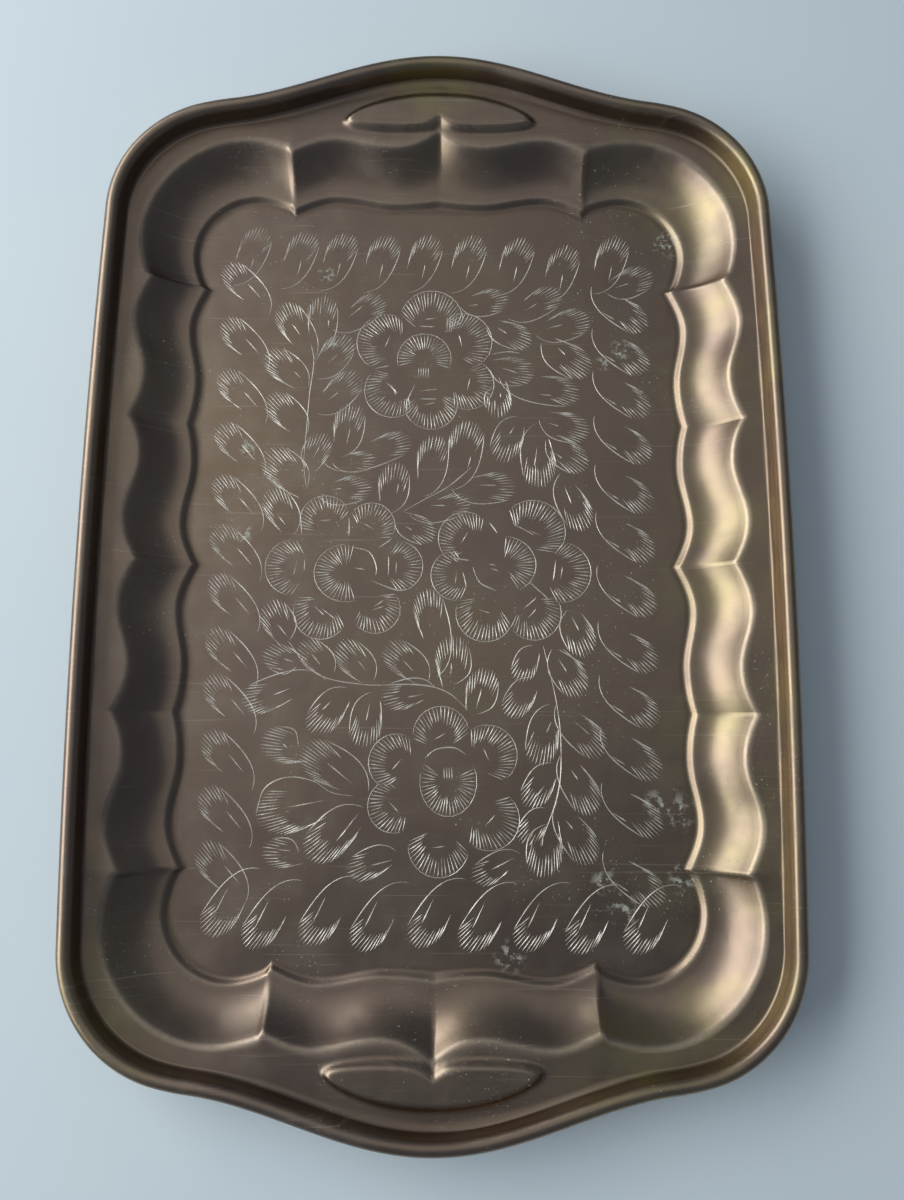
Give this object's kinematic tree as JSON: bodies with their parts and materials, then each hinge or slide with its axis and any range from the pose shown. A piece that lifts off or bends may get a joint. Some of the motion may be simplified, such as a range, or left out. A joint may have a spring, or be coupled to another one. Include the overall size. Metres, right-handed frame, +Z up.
{
  "type": "serving tray",
  "caption": "Shallow rectangular brass tray with an engraved floor, fluted wall, bowed ends with raised thumb pads and a rolled, wire-stiffened rim.",
  "frame": {"origin": "centre of the flat underside, on the surface the tray stands on", "axes": "+X across the tray's width, +Y along its length, +Z up out of the tray"},
  "size_m": [0.19, 0.294, 0.0165],
  "materials": {
    "tarnished_brass": "aged satin with brown tarnish, verdigris and bright engraved cuts",
    "edge_wire": "dull drawn wire"
  },
  "bodies": {
    "root": {"pressed_pan": "tarnished_brass", "rim_wire": "edge_wire"}
  },
  "joints": []
}
